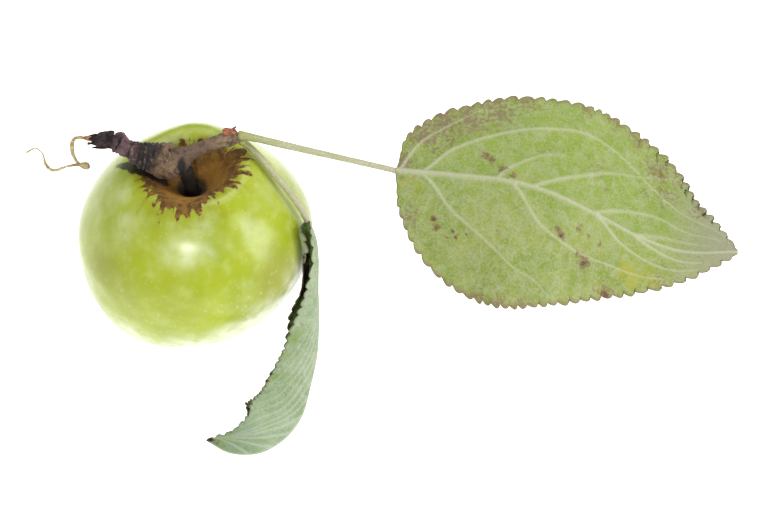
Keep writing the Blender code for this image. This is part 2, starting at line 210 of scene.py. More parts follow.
FOLDED_BROWNING = [
    (0.12, -0.6, 4.0, 1.2), (0.16, -0.8, 4.0, 1.3), (0.2, -0.8, 3.5, 1.2), (0.27, -1.0, 2.5, 0.9),
    (0.33, -1.0, 2.5, 0.7), (0.5, -1.0, 3.0, 1.1), (0.58, -1.0, 3.0, 1.3), (0.66, -1.0, 3.0, 1.2),
    (0.8, -1.0, 3.0, 1.1), (0.99, 0.5, 2.0, 1.0),
]
FOLDED_YELLOWING = [
    (0.36, 0.9, 3.0, 0.8), (0.45, 0.9, 3.0, 0.8), (0.55, 0.85, 3.5, 0.7),
    (0.75, 0.6, 3.0, 0.5), (0.95, 0.3, 3.0, 0.6),
]
# Where the sepals grow from, under the leaning fruit, and how many dried stamens they hold.
BASIN_MIDDLE = np.array((-0.9 * LEAN, 0, 3.4))
STAMENS = 12

# How rough the waxy skin and the cork are, and how far the small veins stray, in metres.
SKIN_ROUGHNESS = 0.26
CORK_ROUGHNESS = 0.85
VEIN_WANDER = 0.0006

# The camera looks down from in front, turned only about the x axis.
CAMERA_PLACE = (46.707, -411.846, 458.344)
CAMERA_TILT = 43
CAMERA_LENS = 114.785
FLOOR_HALF_WIDTH = 3.0
FLOOR_DROP = 0.0003


def srgb(red, green, blue):
    """A colour given as 0 to 255 display values, as the linear values that a shader takes."""
    shares = [c / 255 for c in (red, green, blue)]
    linear = [c / 12.92 if c < 0.0404 else ((c + 0.055) / 1.055) ** 2.4 for c in shares]
    return (*linear, 1.0)


low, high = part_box("fruit")
AXIS = Vector((high.x - FRUIT_RADIUS * MM, (low.y + high.y) / 2, 0.0))


def place(points):
    """Millimetres from the fruit's axis as metres in the frame."""
    return np.asarray(points, float) * MM + np.array(AXIS)


# ---------------------------------------------------------------- curves and shapes


def bezier(start, first, second, end, count):
    """Points of a cubic curve after its start, up to and including its end."""
    start, first, second, end = (np.array(p, float) for p in (start, first, second, end))
    points = []
    for t in np.linspace(0, 1, count + 1)[1:]:
        u = 1 - t
        points.append(u**3 * start + 3 * u * u * t * first + 3 * u * t * t * second + t**3 * end)
    return points


def smooth_step(low, high, value):
    """0 up to low, 1 from high, with a smooth change between."""
    share = np.clip((value - low) / (high - low), 0.0, 1.0)
    return share * share * (3 - 2 * share)


def through(keys, rows, where):
    """A smooth curve through the rows, read at each of where; keys are the rows' positions."""
    rows = np.array(rows, float)
    keys = np.array(keys, float)
    where = np.asarray(where, float)
    spans = np.diff(keys)
    slopes = np.diff(rows, axis=0) / spans[:, None]
    tangents = np.vstack([slopes[:1], (slopes[1:] + slopes[:-1]) / 2, slopes[-1:]])
    i = np.clip(np.searchsorted(keys, where) - 1, 0, len(spans) - 1)
    t = ((where - keys[i]) / spans[i])[:, None]
    span = spans[i][:, None]
    return (
        (1 + 2 * t) * (1 - t) ** 2 * rows[i]
        + t * (1 - t) ** 2 * span * tangents[i]
        + t * t * (3 - 2 * t) * rows[i + 1]
        + t * t * (t - 1) * span * tangents[i + 1]
    )


def route_keys(route):
    """How far along its route each point lies."""
    places = np.array(route, float)[:, :3]
    steps = np.linalg.norm(np.diff(places, axis=0), axis=1)
    return np.concatenate([[0.0], np.cumsum(steps)])


def unit(vectors):
    """Vectors brought to a length of 1."""
    return vectors / np.linalg.norm(vectors, axis=-1, keepdims=True)


def ripple(points, size, seed=0.0):
    """Soft noise from -1 to 1 at each point, with bumps of about that size."""
    shift = Vector((seed, seed * 0.7, -seed))
    return np.array([noise.noise(Vector(p) / size + shift) for p in points])


def add_piece(name, bm, finishes, node):
    """A finished piece: its mesh, its materials, and the CAD node that it stands for."""
    mesh = bpy.data.meshes.new(name)
    bm.to_mesh(mesh)
    bm.free()
    mesh.shade_smooth()
    for material in finishes:
        mesh.materials.append(material)
    piece = bpy.data.objects.new(name, mesh)
    bpy.context.scene.collection.objects.link(piece)
    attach(piece, "root")
    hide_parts(node)
    return piece


def set_layer(bm, name, values):
    """Keeps one number for every vertex, for the finishes to read."""
    layer = bm.verts.layers.float.new(name)
    for vert, value in zip(bm.verts, values):
        vert[layer] = float(value)


def grow(x, y, z):
    """Gives points of the turned fruit their five soft lobes and their lean."""
    valley = (1 - np.cos(LOBES * (np.arctan2(y, x) - LOBE_TURN))) / 2
    outer = smooth_step(3, RIM_RADIUS, np.hypot(x, y))
    shoulder = smooth_step(28, 44, z) * outer
    flank = smooth_step(2, 7, z) * (1 - smooth_step(8, 20, z))
    pull = 1 - LOBE_DEPTH * valley * (shoulder + 0.5 * flank) / FRUIT_RADIUS
    sink = LOBE_DROP * valley * smooth_step(38, RIM_HEIGHT, z) * outer
    lean = LEAN * np.maximum(0.0, 1 - z / WIDEST_HEIGHT) ** LEAN_POWER
    return np.stack([x * pull - lean, y * pull, z - sink], axis=-1)


def fruit_profile():
    """Half the fruit's outline as (radius, height), from under the basin to the hollow's floor."""
    side = FRUIT_RADIUS - RING_OUTER
    shoulder = FRUIT_RADIUS - RIM_RADIUS
    rise = RIM_HEIGHT - WIDEST_HEIGHT
    points = [np.array((0.0, BASIN_DEPTH))]
    points += bezier((0, BASIN_DEPTH), (4, BASIN_DEPTH), (5.6, 0.9), (RING_INNER, 0), 14)
    points.append(np.array((RING_OUTER, 0.0)))
    points += bezier(
        (RING_OUTER, 0),
        (RING_OUTER + 0.5 * side, 0),
        (FRUIT_RADIUS, 0.49 * WIDEST_HEIGHT),
        (FRUIT_RADIUS, WIDEST_HEIGHT),
        36,
    )
    points += bezier(
        (FRUIT_RADIUS, WIDEST_HEIGHT),
        (FRUIT_RADIUS, WIDEST_HEIGHT + 0.39 * rise),
        (RIM_RADIUS + 0.26 * shoulder, RIM_HEIGHT),
        (RIM_RADIUS, RIM_HEIGHT),
        36,
    )
    points += bezier(
        (RIM_RADIUS, RIM_HEIGHT),
        (RIM_RADIUS - 4.5, RIM_HEIGHT),
        (HOLLOW_RADIUS + 2, HOLLOW_MOUTH + 1.1),
        (HOLLOW_RADIUS, HOLLOW_MOUTH),
        26,
    )
    points += [np.array((HOLLOW_RADIUS - 0.1, HOLLOW_FLOOR)), np.array((0.0, HOLLOW_FLOOR))]
    return points


def cork_depth(bearing, radius):
    """How far inside the cork's edge each point lies, in steps of 3 mm.

    The cork reaches furthest towards the front, and less far to the front right and the back.
    """
    gap = np.exp(-(((bearing + 52) / 17) ** 2))
    tongue = np.exp(-(((bearing + 100) / 26) ** 2))
    back = np.exp(-(((bearing - 95) / 48) ** 2))
    return (12.9 - 2.8 * gap + 2.9 * tongue - 4.2 * back - radius) / 3


def patches(rows, outward):
    """How strongly the soft colour patches cover each point, from its direction."""
    cover = np.zeros(len(outward))
    for turn, lift, spread, strength in rows:
        turn, lift = math.radians(turn), math.radians(lift)
        level = math.cos(lift)
        centre = np.array((level * math.cos(turn), level * math.sin(turn), math.sin(lift)))
        apart = np.degrees(np.arccos(np.clip(outward @ centre, -1, 1)))
        cover = np.maximum(cover, strength * np.exp(-((apart / spread) ** 2)))
    return cover


def make_fruit(finish):
    """The fruit, turned from its outline, then given its lobes, its lean and some unevenness."""
    bm = bmesh.new()
    profile = [bm.verts.new((r, 0, z)) for r, z in fruit_profile()]
    edges = [bm.edges.new(pair) for pair in zip(profile, profile[1:])]
    bmesh.ops.spin(
        bm, geom=profile + edges, cent=(0, 0, 0), axis=UP, angle=math.tau, steps=FRUIT_SIDES,
        use_merge=True,
    )
    bmesh.ops.remove_doubles(bm, verts=bm.verts, dist=0.001)
    turned = np.array([vert.co for vert in bm.verts])
    grown = grow(*turned.T)
    radius = np.hypot(turned[:, 0], turned[:, 1])
    bearing = np.degrees(np.arctan2(turned[:, 1], turned[:, 0]))
    above_ring = smooth_step(0.3, 5, turned[:, 2])
    dents = 0.16 * ripple(grown, 11.0) + 0.05 * ripple(grown, 3.5, 5.0)
    outward = unit(grown - np.array((0, 0, FRUIT_MIDDLE)))
    grown += outward * (dents * above_ring * smooth_step(2, 6, radius))[:, None]
    cork = cork_depth(bearing, radius)
    cork[turned[:, 2] < 30] = -3
    outward = unit(grown - np.array((0, 0, FRUIT_MIDDLE)))
    # Painted shade: the skin is painted near black where the spur lies close over it.
    apart, share = distance_to(np.array(SHADE), grown)
    shade = 1 - smooth_step(0.3, 1.0, apart / (0.9 + 2.5 * smooth_step(0.0, 0.45, share)))
    for vert, co in zip(bm.verts, place(grown)):
        vert.co = co
    set_layer(bm, "olive", patches(OLIVE_PATCHES, outward))
    # Pale waxy bloom, with painted sheen round the highlight and low on the front and right.
    set_layer(bm, "bloom_and_sheen", patches(BLOOM_AND_SHEEN_PATCHES, outward))
    set_layer(bm, "shade", shade * (grown[:, 2] > 38))
    set_layer(bm, "cork", np.clip(cork, -3, 3))
    # Painted shade: the hollow round the stalk is painted near black.
    set_layer(bm, "depth", smooth_step(6, 1.5, radius) * (turned[:, 2] > 30))
    bmesh.ops.recalc_face_normals(bm, faces=bm.faces)
    return add_piece("apple_fruit", bm, [finish], "fruit")


def frames(centres):
    """A side and an up direction at every centre of a route, which turn as little as they can."""
    headings = unit(np.gradient(centres, axis=0))
    start = np.array(UP if abs(headings[0][2]) < 0.9 else (0, -1, 0), float)
    sides = []
    side = np.cross(headings[0], start)
    for heading in headings:
        side = side - heading * (side @ heading)
        side = side / np.linalg.norm(side)
        sides.append(side)
    sides = np.array(sides)
    return sides, np.cross(sides, headings)


def tube(bm, route, rings, sides, relief):
    """A closed stem along a route: a grid rolled into a tube with rounded ends.

    relief(along, around, points) gives how far the skin stands proud at each point.
    Returns each new vertex's share of the route and how far it stands proud.
    """
    keys = route_keys(route)
    grid = bmesh.ops.create_grid(bm, x_segments=sides, y_segments=rings, size=1)
    verts = grid["verts"]
    flat = np.array([vert.co for vert in verts])
    steps = 8 * rings
    stations = np.linspace(0, keys[-1], steps + 1)
    course = through(keys, route, stations)
    side, up = frames(course[:, :3])
    along = (flat[:, 1] + 1) / 2 * keys[-1]
    around = flat[:, 0] * math.pi
    at = np.clip(np.rint(along / keys[-1] * steps).astype(int), 0, steps)
    centre, radius = course[at, :3], course[at, 3]
    out = side[at] * np.cos(around)[:, None] + up[at] * np.sin(around)[:, None]
    skin = centre + out * radius[:, None]
    proud = relief(along, around, skin)
    radius = radius + proud
    from_end = np.minimum(along, keys[-1] - along)
    rounding = np.sqrt(np.clip(1 - (1 - np.clip(from_end / (0.8 * radius), 0, 1)) ** 2, 0, 1))
    for vert, co in zip(verts, place(centre + out * (radius * rounding)[:, None])):
        vert.co = co
    return along / keys[-1], proud


def make_stem(name, route, rings, sides, finish, node, relief, painted_cleft_shade=None):
    """A stem that stands for its CAD node, with painted shade along a route of its own if given."""
    bm = bmesh.new()
    shares, proud = tube(bm, route, rings, sides, relief)
    set_layer(bm, "along", shares)
    set_layer(bm, "proud", proud)
    if painted_cleft_shade:
        skin = (np.array([vert.co for vert in bm.verts]) - np.array(AXIS)) / MM
        apart = distance_to(np.array(painted_cleft_shade, float), skin)[0]
        set_layer(bm, "painted_cleft_shade", np.exp(-((apart / 1.2) ** 2)))
    bmesh.ops.remove_doubles(bm, verts=bm.verts, dist=1e-6)
    bmesh.ops.recalc_face_normals(bm, faces=bm.faces)
    return add_piece(name, bm, [finish], node)


def bark_relief(along, around, points):
    """Growth rings cut across the wood, wrinkles between them, and lumps."""
    proud = np.zeros(len(along))
    wander = 0.8 * ripple(points, 3.2, 3.0) + 0.25 * ripple(points, 0.9, 1.0)
    fade = 0.55 + 0.45 * ripple(points, 2.4, 11.0)
    for scar, depth in RING_SCARS:
        distance = along + wander - scar
        ridge = 0.4 * np.exp(-(((distance - 0.6) / 0.45) ** 2))
        proud += depth * fade * (ridge - np.exp(-((distance / 0.24) ** 2)))
    old_wood = 1 - smooth_step(15, 19, along)
    lumps = 0.5 * ripple(points, 3.0, 9.0)
    wrinkles = 0.45 * (0.4 - np.abs(ripple(points * (2.0, 1, 1), 1.7, 4.0)))
    grain = 0.16 * ripple(points, 0.6, 7.0)
    return proud * (0.3 + 0.7 * old_wood) + (lumps + wrinkles + grain) * (0.35 + 0.65 * old_wood)


def stalk_relief(along, around, points):
    """Low lumps, with finer ones between."""
    return 0.12 * ripple(points, 1.4, 2.0) + 0.06 * ripple(points, 0.5, 6.0)


def leaf_stalk_relief(along, around, points):
    """Fine ribs along the stalk and a shallow channel on its upper side."""
    channel = -0.16 * np.exp(-(((around - math.pi / 2) / 0.5) ** 2))
    return channel + 0.035 * np.cos(9 * around) + 0.03 * ripple(points, 1.6, 1.0)


def thread_relief(along, around, points):
    """A flattened, slowly twisting thread."""
    return 0.1 * np.cos(2 * around + along * 0.5) + 0.05 * ripple(points, 0.9, 8.0)


def bract(bm, root, heading, length, width, curl, facing):
    """One dried, pointed bud scale, cupped along its length and curling towards its facing."""
    grid = bmesh.ops.create_grid(bm, x_segments=8, y_segments=12, size=1)
    heading = unit(np.array(heading, float))
    side = unit(np.cross(heading, np.array(facing, float)))
    face = np.cross(side, heading)
    for vert in grid["verts"]:
        across, along = vert.co.x, (vert.co.y + 1) / 2
        half = width * (1 - along**1.8) ** 0.8 * (0.75 + 0.5 * math.sin(math.pi * along)) + 0.02
        half *= 1 + 0.25 * noise.noise(Vector((across * 1.5, along * 6, root[0])))
        lift = curl * along * along * length + 0.35 * width * (across * across - 0.5)
        co = np.array(root) + heading * (along * length) + side * (across * half) + face * lift
        vert.co = place(co)


def make_bracts(name, rows, thickness, finish, node, core=None):
    """Scales that stand together, one to a row of bract()'s values, round a core if given."""
    bm = bmesh.new()
    for row in rows:
        bract(bm, *row)
    bmesh.ops.recalc_face_normals(bm, faces=bm.faces)
    bmesh.ops.solidify(bm, geom=bm.faces[:], thickness=thickness * MM)
    if core:
        tube(bm, core, 24, 24, stalk_relief)
        bmesh.ops.remove_doubles(bm, verts=bm.verts, dist=1e-7)
    bmesh.ops.recalc_face_normals(bm, faces=bm.faces)
    return add_piece(name, bm, [finish], node)


# ---------------------------------------------------------------- leaf blades


def arc(width, first, last, share):
    """Where a half-blade that bends evenly between two angles has got to, and its angle there."""
    start = np.radians(first)
    turn = np.radians(last) - start
    turn = np.where(np.abs(turn) < 0.001, 0.001, turn)
    radius = width / turn
    now = start + turn * share
    return radius * (np.sin(now) - np.sin(start)), radius * (np.cos(start) - np.cos(now)), now


def tooth(turn):
    """One rounded tooth between two sharp notches; it leans forward a little."""
    return np.sin(math.pi * (turn % 1.0) ** 1.5) ** 0.5


def read_rows(rows, where):
    """The rows of a half-blade, read at shares of the midrib."""
    return through([row[0] for row in rows], rows, where)


def outline(rows, length, stations):
    """How far along a half's margin each station lies, and how steeply the margin widens there."""
    fine = np.linspace(0, 1, 400)
    widths = read_rows(rows, fine)[:, 1]
    steps = np.hypot(np.diff(fine) * length, np.diff(widths))
    slopes = np.gradient(widths, fine * length)
    travelled = np.concatenate([[0.0], np.cumsum(steps)])
    return np.interp(stations, fine, travelled), np.interp(stations, fine, slopes)


def distance_to(route, points):
    """How far each point lies from a route, and how far along it, as a share."""
    best = np.full(len(points), 1e9)
    share = np.zeros(len(points))
    for i, (start, end) in enumerate(zip(route, route[1:])):
        step = end - start
        t = np.clip(((points - start) @ step) / (step @ step), 0, 1)
        gone = np.linalg.norm(points - start - t[:, None] * step, axis=1)
        share = np.where(gone < best, (i + t) / (len(route) - 1), share)
        best = np.minimum(best, gone)
    return best, share


def raise_veins(leaf, length, laid, top, grown):
    """The veins of a blade laid out flat.

    Gives how far they stand proud, how plainly they show, and how far off the nearest one lies.
    """
    rib = leaf["rib_width"] * (1.0 - 0.75 * top)
    ridge = leaf["rib_height"] * (1 - 0.7 * top) * np.exp(-((grown / rib) ** 2))
    mark = np.exp(-((grown / (0.9 * rib)) ** 2))
    nearest = grown
    for vein in leaf["veins"]:
        fine = through(np.linspace(0, 1, len(vein)), vein, np.linspace(0, 1, 28))
        half_near = read_rows(leaf["near"], fine[:, 0])[:, 1]
        half_far = read_rows(leaf["far"], fine[:, 0])[:, 1]
        half = np.where(fine[:, 1] > 0, half_near, half_far)
        route = np.stack([fine[:, 0] * length, fine[:, 1] * half], axis=1)
        gone, share = distance_to(route, laid)
        thick = leaf["vein_width"] * (1.15 - 0.75 * share)
        height = leaf["vein_height"] * (1 - 0.6 * share)
        ridge = np.maximum(ridge, height * np.exp(-((gone / thick) ** 2)))
        mark = np.maximum(mark, (1 - 0.45 * share) * np.exp(-((gone / (0.8 * thick)) ** 2)))
        nearest = np.minimum(nearest, gone)
    return ridge, mark, nearest


def blobs(leaf, rows, length, laid):
    """Soft round patches on the blade, each given by its place, its radius and its strength."""
    cover = np.zeros(len(laid))
    for share, half, radius, strength in rows:
        width = read_rows(leaf["near"] if half > 0 else leaf["far"], [share])[0][1]
        gone = np.hypot(laid[:, 0] - share * length, laid[:, 1] - half * width)
        cover = np.maximum(cover, strength * np.exp(-((gone / (1.1 * radius)) ** 2)))
    return cover


def make_leaf(name, leaf, finishes, node):
    """A leaf blade with toothed margins and raised veins.

    The grid is bent to its midrib and its two halves as in the CAD, with finer cells.
    """
    midrib = leaf["midrib"]
    keys = route_keys(midrib)
    length = keys[-1]
    bm = bmesh.new()
    bmesh.ops.create_grid(bm, x_segments=2 * leaf["cells"], y_segments=leaf["stations"], size=1)
    flat = np.array([vert.co for vert in bm.verts])
    across = np.sign(flat[:, 0]) * np.abs(flat[:, 0]) ** 0.9
    station = ((flat[:, 1] + 1) / 2) ** 1.25
    reach = np.abs(across)
    is_near = across > 0
    flip = np.where(is_near, 1.0, -1.0)
    near_rows, far_rows = read_rows(leaf["near"], station), read_rows(leaf["far"], station)
    rows = np.where(is_near[:, None], near_rows, far_rows)
    width = np.maximum(rows[:, 1], 0.3)

    # Teeth stand square to the margin, evenly spaced along it.
    margin = smooth_step(0.84, 1.0, reach)
    near_turn, near_slope = outline(leaf["near"], length, station)
    far_turn, far_slope = outline(leaf["far"], length, station)
    slope = np.where(is_near, near_slope, far_slope)
    wobble = 0.5 * ripple(np.stack([station * 9, flip, station * 0], axis=1), 1.0)
    point = tooth(np.where(is_near, near_turn, far_turn + 0.4) / leaf["tooth_pitch"] + wobble)
    size = leaf["tooth_depth"] * (0.75 + 0.5 * np.sin(station * 40 + across) ** 2)
    size *= np.where(is_near, 0.85, 1 + 0.55 * np.exp(-(((station - 0.76) / 0.16) ** 2)))
    size *= smooth_step(0.0, 0.03, station) * (1 - smooth_step(0.97, 1.0, station))
    push = margin * (point - 0.55) * size / np.sqrt(1 + slope**2)
    swept = smooth_step(0.0, 0.03, station) * (1 - smooth_step(0.05, 0.24, station))
    along = station - leaf["sweep"] / length * reach**2 * swept
    along = along - push * slope / length + margin * (point - 0.3) * size * 0.3 / length
    top = np.clip(along, 0.0, 1.0)

    centre = through(keys, midrib, top * length)
    before = through(keys, midrib, np.clip(top - 0.04, 0, 1) * length)
    after = through(keys, midrib, np.clip(top + 0.04, 0, 1) * length)
    heading = unit(after - before)
    side = unit(np.cross(heading, np.array(leaf["facing"], float)))
    face = np.cross(side, heading)
    centre = centre + heading * ((along - top) * length)[:, None]
    grown = width * reach + push
    out, up, angle = arc(width, rows[:, 2], rows[:, 3], grown / width)
    points = centre + side * out[:, None] + face * up[:, None]
    normal = face * np.cos(angle)[:, None] - side * np.sin(angle)[:, None]

    # The blade sinks a little between its veins, and waves towards its margins.
    laid = np.stack([top * length, flip * grown], axis=1)
    ridge, mark, nearest = raise_veins(leaf, length, laid, top, grown)
    quilt = -leaf["quilt"] * (1 - np.exp(-((nearest / 2.6) ** 2))) * (1 - margin)
    waves = leaf["waves"] * ripple(points, 9.0, 2.0) * smooth_step(0.05, 0.8, reach)
    crumple = 0.07 * ripple(points, 1.9, 6.0) * smooth_step(0.03, 0.2, reach)
    points = points + normal * (flip * (ridge + quilt + waves + crumple))[:, None]
    for vert, co in zip(bm.verts, place(points)):
        vert.co = co
    set_layer(bm, "vein", mark)
    set_layer(bm, "margin", reach)
    set_layer(bm, "along", top)
    for patch in ("blemish", "browning", "yellowing"):
        set_layer(bm, patch, blobs(leaf, leaf[patch], length, laid))
    set_layer(bm, "laid_along", laid[:, 0] * MM)
    set_layer(bm, "laid_across", laid[:, 1] * MM)
    piece = add_piece(name, bm, finishes, node)
    wall = piece.modifiers.new("thickness", "SOLIDIFY")
    wall.thickness = BLADE_THICKNESS * MM
    wall.offset = 0
    wall.material_offset = 1
    return piece


# ---------------------------------------------------------------- finishes


class Finish:
    """A material built up coat by coat, its patterns on the piece's own coordinates."""

    def __init__(self, name, **sockets):
        self.material = bpy.data.materials.new(name)
        self.material.use_nodes = True
        self.tree = self.material.node_tree
        self.shader = self.tree.nodes["Principled BSDF"]
        for socket, value in sockets.items():
            self.shader.inputs[socket.replace("_", " ")].default_value = value
        own = self.node("ShaderNodeTexCoord").outputs["Object"]
        centred = self.node("ShaderNodeMapping", Vector=own)
        centred.inputs["Location"].default_value = -AXIS
        self.here = centred.outputs[0]
        self.relief = None
        self.colour = None

    def node(self, kind, settings=(), **inputs):
        made = self.tree.nodes.new(kind)
        for key, value in dict(settings).items():
            setattr(made, key, value)
        for key, value in inputs.items():
            self.put(made.inputs[key], value)
        return made

    def put(self, socket, value):
        if isinstance(value, bpy.types.NodeSocket):
            self.tree.links.new(value, socket)
        else:
            socket.default_value = value

    def set(self, socket, value):
        self.put(self.shader.inputs[socket], value)

    def noise(self, size, detail=2.0, where=None, warp=0.0):
        """Noise from 0 to 1 with bumps of about that size in millimetres."""
        made = self.node("ShaderNodeTexNoise", Vector=where or self.here, Detail=detail)
        made.inputs["Scale"].default_value = 1 / (size * MM)
        made.inputs["Distortion"].default_value = warp
        return made.outputs[0]

    def cells(self, size, feature="F1", where=None):
        """Distance to a cell's centre or edge, as a share of the cell's size in millimetres."""
        made = self.node("ShaderNodeTexVoronoi", {"feature": feature}, Vector=where or self.here)
        made.inputs["Scale"].default_value = 1 / (size * MM)
        return made.outputs["Distance"]

    def layer(self, name):
        return self.node("ShaderNodeAttribute", {"attribute_name": name}).outputs["Fac"]

    def calc(self, kind, first, second):
        made = self.node("ShaderNodeMath", {"operation": kind})
        self.put(made.inputs[0], first)
        self.put(made.inputs[1], second)
        return made.outputs[0]

    def map(self, value, low, high, bottom, top):
        """value from low to high as an amount from bottom to top."""
        made = self.node("ShaderNodeMapRange", Value=value)
        sockets = ("From Min", "From Max", "To Min", "To Max")
        for socket, amount in zip(sockets, (low, high, bottom, top)):
            made.inputs[socket].default_value = amount
        return made

    def step(self, value, low, high, top=1.0):
        """0 where value is low, top where it is high, with a smooth change between."""
        made = self.map(value, low, high, 0.0, top)
        made.interpolation_type = "SMOOTHSTEP"
        return made.outputs[0]

    def spread(self, value, most):
        """Noise from 0 to 1 as an amount from -most to most."""
        return self.map(value, 0.3, 0.7, -most, most).outputs[0]

    def frayed(self, layer, size, detail, most):
        """A layer of the piece, its edges broken up by noise."""
        return self.calc("ADD", self.layer(layer), self.spread(self.noise(size, detail), most))

    def mix(self, share, below, above):
        """One colour over another; three numbers are taken as display values."""
        made = self.node("ShaderNodeMix", {"data_type": "RGBA"})
        self.put(made.inputs[0], share)
        for index, colour in ((6, below), (7, above)):
            plain = isinstance(colour, tuple) and len(colour) == 3
            self.put(made.inputs[index], srgb(*colour) if plain else colour)
        return made.outputs[2]

    def cover(self, share, above):
        """Lays one more colour over those so far."""
        self.colour = self.mix(share, self.colour, above)

    def ramp(self, value, *stops):
        """Colours at positions along a value; stops are (position, colour)."""
        made = self.node("ShaderNodeValToRGB", Fac=value)
        band = made.color_ramp
        while len(band.elements) < len(stops):
            band.elements.new(0.5)
        for element, (position, colour) in zip(band.elements, stops):
            element.position = position
            element.color = srgb(*colour)
        return made.outputs[0]

    def bump(self, height, depth, strength=1.0):
        made = self.node("ShaderNodeBump", Height=height, Strength=strength)
        made.inputs["Distance"].default_value = depth * MM
        if self.relief:
            self.tree.links.new(self.relief, made.inputs["Normal"])
        self.relief = made.outputs[0]
        self.set("Normal", self.relief)

    def finished(self):
        self.set("Base Color", self.colour)
        return self.material


def add_wax_and_painted_sheen(skin):
    """Olive patches, soft clouds of pale waxy bloom with painted sheen, and a thinner veil that
    leaves the deep green patches bare.
    """
    olive = skin.step(skin.frayed("olive", 5, 3, 0.15), 0.0, 0.85)
    skin.cover(olive, (130, 136, 0))
    clouds = skin.map(skin.noise(3.2, 4), 0.3, 0.7, 0.55, 1.3).outputs[0]
    bloom_and_sheen = skin.calc("MULTIPLY", skin.layer("bloom_and_sheen"), clouds)
    skin.cover(skin.step(bloom_and_sheen, 0.05, 1.0, 0.92), (206, 210, 186))
    bare = skin.calc("SUBTRACT", 1.0, olive)
    veil = skin.calc("MULTIPLY", skin.step(skin.noise(4.0, 4), 0.42, 0.72, 0.3), bare)
    skin.cover(veil, (186, 196, 128))


def add_pores(skin):
    """Pale pores, soft-edged and of many sizes, thickest low down, and a few dark specks."""
    height = skin.node("ShaderNodeSeparateXYZ", Vector=skin.here).outputs[2]
    low_down = skin.step(height, 42 * MM, 14 * MM)
    aside = skin.node("ShaderNodeVectorMath", {"operation": "ADD"}, Vector=skin.here)
    aside.inputs[1].default_value = (0.031, 0.017, 0.023)
    pores = skin.calc("MULTIPLY", skin.step(skin.cells(2.5), 0.24, 0.02, 0.45), low_down)
    small = skin.step(skin.cells(1.6, where=aside.outputs[0]), 0.26, 0.02, 0.22)
    skin.cover(pores, (204, 208, 150))
    skin.cover(small, (196, 202, 140))
    skin.cover(skin.step(skin.cells(8.0), 0.03, 0.015, 0.6), (84, 76, 30))


def add_cork(skin):
    """Cork round the hollow, with a ragged edge that runs out in rays, painted light on the deeper
    cork, and painted shade deep in the hollow and under the spur.
    """
    flat = skin.node("ShaderNodeVectorMath", {"operation": "MULTIPLY"}, Vector=skin.here)
    flat.inputs[1].default_value = (1, 1, 0)
    ray = skin.node("ShaderNodeVectorMath", {"operation": "NORMALIZE"}, Vector=flat.outputs[0])
    rays = skin.node("ShaderNodeTexNoise", Vector=ray.outputs[0], Scale=9.0, Detail=3.0).outputs[0]
    edge = skin.calc("ADD", skin.layer("cork"), skin.spread(rays, 0.8))
    edge = skin.calc("ADD", edge, skin.spread(skin.noise(1.7, 5), 0.6))
    corked = skin.step(edge, -0.1, 0.14)
    grain = skin.noise(0.45, 3)
    cork = skin.mix(skin.step(skin.noise(1.5, 4), 0.38, 0.62), (80, 50, 8), (118, 84, 20))
    cork = skin.mix(skin.step(grain, 0.5, 0.72, 0.6), cork, (56, 30, 5))
    cork = skin.mix(skin.step(skin.noise(0.9, 4), 0.6, 0.74, 0.3), cork, (150, 116, 54))
    # Painted light: the cork deeper in the hollow is painted lighter, to make up for the shade there.
    cork = skin.mix(skin.step(skin.layer("cork"), 0.9, 2.1, 0.45), cork, (170, 122, 38))
    skin.cover(skin.step(edge, -1.0, -0.05, 0.5), (138, 134, 28))
    skin.cover(corked, cork)
    # Painted shade deep in the hollow round the stalk.
    skin.cover(skin.step(skin.layer("depth"), 0.25, 0.8, 0.92), (14, 9, 4))
    # Painted shade of the spur, near black on the skin under it.
    skin.cover(skin.step(skin.frayed("shade", 1.2, 4, 0.25), 0.25, 0.7, 0.93), (14, 10, 4))
    gloss = skin.node("ShaderNodeMix", Factor=corked)
    gloss.inputs[2].default_value = SKIN_ROUGHNESS
    gloss.inputs[3].default_value = CORK_ROUGHNESS
    skin.set("Roughness", gloss.outputs[0])
    skin.bump(skin.calc("MULTIPLY", grain, corked), 0.14, 0.8)


def apple_skin():
    """Waxy green skin with pale bloom, painted sheen and pores, and cork round the hollow with
    painted shade and painted light in it.
    """
    skin = Finish("apple_skin", Specular_IOR_Level=0.44, Subsurface_Weight=0.06)
    skin.set("Subsurface Radius", (1.0, 1.0, 0.25))
    skin.set("Subsurface Scale", 2.0 * MM)
    tone = skin.step(skin.noise(17, 1.5), 0.34, 0.66)
    skin.colour = skin.mix(tone, (138, 152, 14), (150, 162, 28))
    add_wax_and_painted_sheen(skin)
    add_pores(skin)
    add_cork(skin)
    return skin.finished()


